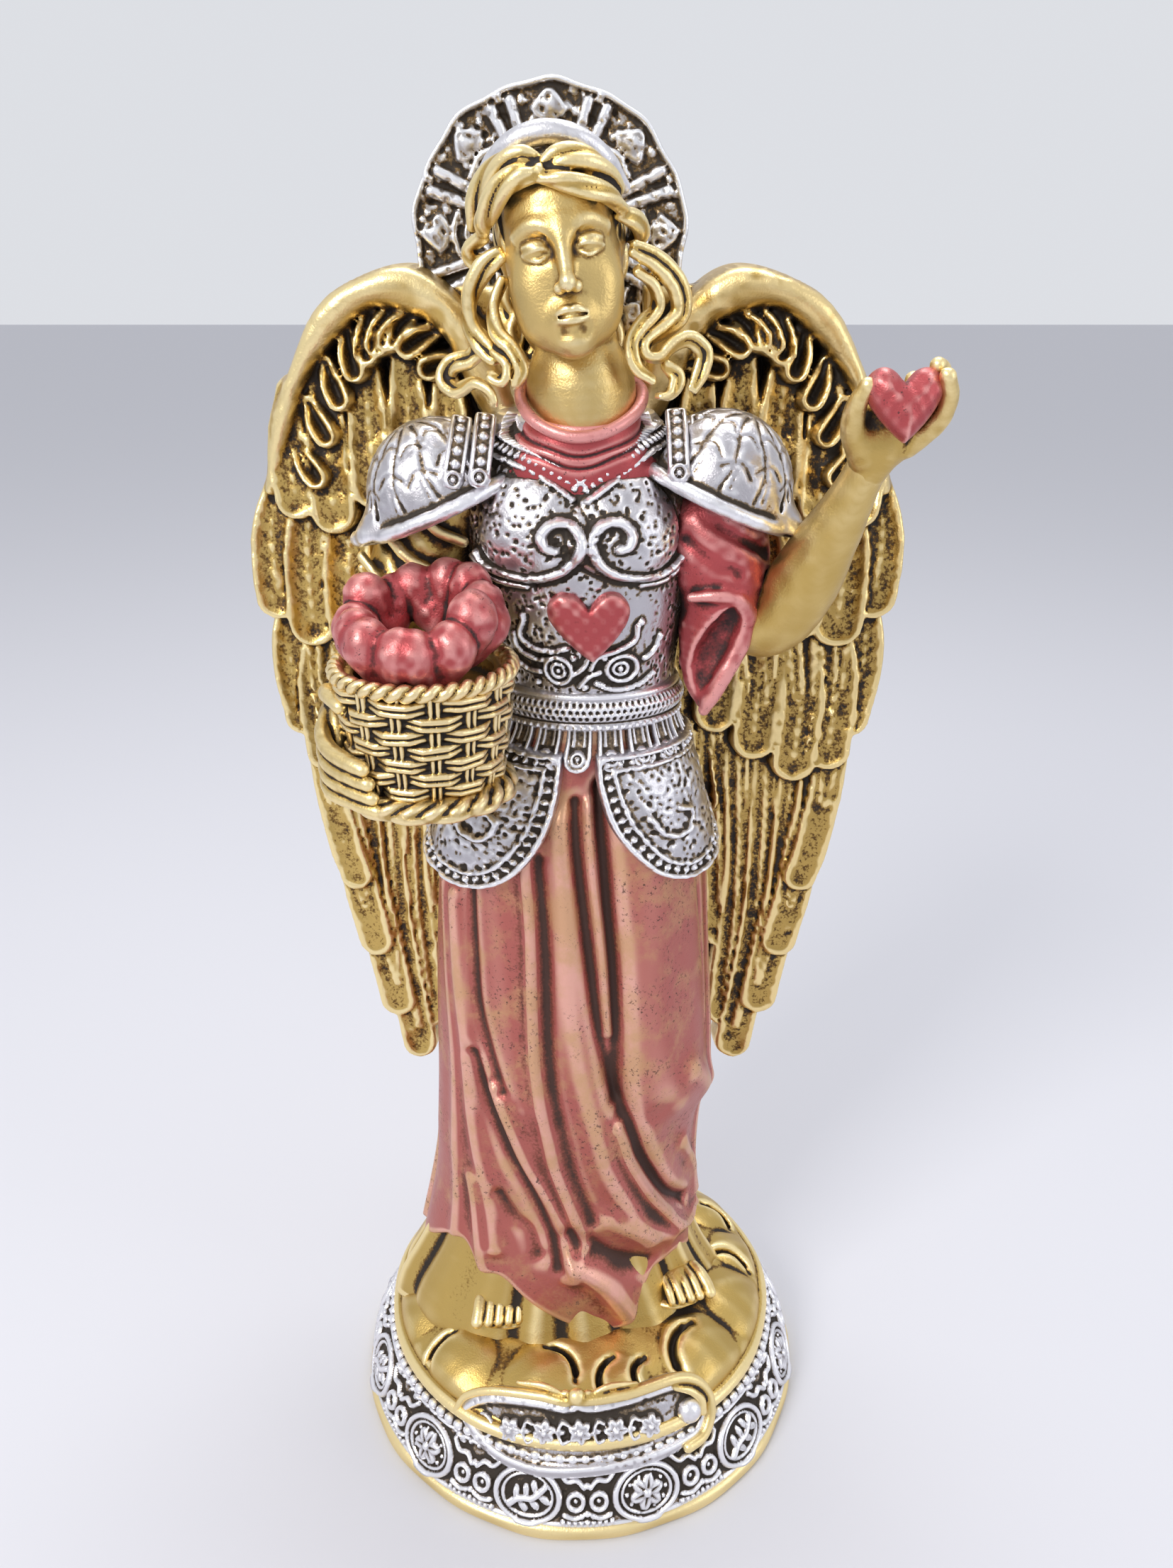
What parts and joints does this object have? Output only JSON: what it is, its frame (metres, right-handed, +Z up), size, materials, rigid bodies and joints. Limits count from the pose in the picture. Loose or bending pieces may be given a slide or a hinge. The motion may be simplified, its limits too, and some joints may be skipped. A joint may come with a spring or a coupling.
{
  "type": "resin angel figurine",
  "caption": "Winged resin figure in silver armour and a rose robe, with a basket of hearts, on a round plinth.",
  "frame": {"origin": "centre of the plinth's flat underside", "axes": "+Z up from the plinth to the halo, the figure looks along -Y, its right side is at -X"},
  "size_m": [0.0872, 0.0744, 0.1999],
  "materials": {
    "antique_gold": "gold metallic paint with umber wash over cast polyresin",
    "antique_silver": "silver metallic paint with dark wash over cast polyresin",
    "rose_paint": "pearly rose paint rubbed with gold over cast polyresin"
  },
  "bodies": {
    "root": {"plinth": "antique_gold", "bead_ring": "antique_silver", "medallions": "antique_silver", "cartouche": "antique_silver", "cloud_mound": "antique_gold", "foot_right": "antique_gold", "foot_left": "antique_gold", "underskirt": "antique_gold", "robe": "rose_paint", "robe_hips": "rose_paint", "cuirass": "antique_silver", "belt": "antique_silver", "waist_tabs": "antique_silver", "lappet_right": "antique_silver", "lappet_left": "antique_silver", "chest_heart": "rose_paint", "cuirass_scrolls": "antique_silver", "tunic_collar": "rose_paint", "pauldron_right": "antique_silver", "pauldron_left": "antique_silver", "shoulder_straps_right": "antique_silver", "shoulder_straps_left": "antique_silver", "head": "antique_gold", "hair": "antique_gold", "hair_curls_right": "antique_gold", "hair_curls_left": "antique_gold", "hair_band": "antique_silver", "halo": "antique_silver", "forearm_left": "antique_gold", "hand_left": "antique_gold", "hand_heart": "rose_paint", "sleeve_left": "rose_paint", "sleeve_right": "antique_gold", "hand_right": "antique_gold", "basket": "antique_gold", "basket_hearts": "rose_paint", "wing_right": "antique_gold", "wing_arch_right": "antique_gold", "wing_coverts_right": "antique_gold", "wing_primaries_right": "antique_gold", "wing_left": "antique_gold", "wing_arch_left": "antique_gold", "wing_coverts_left": "antique_gold", "wing_primaries_left": "antique_gold"}
  },
  "joints": []
}
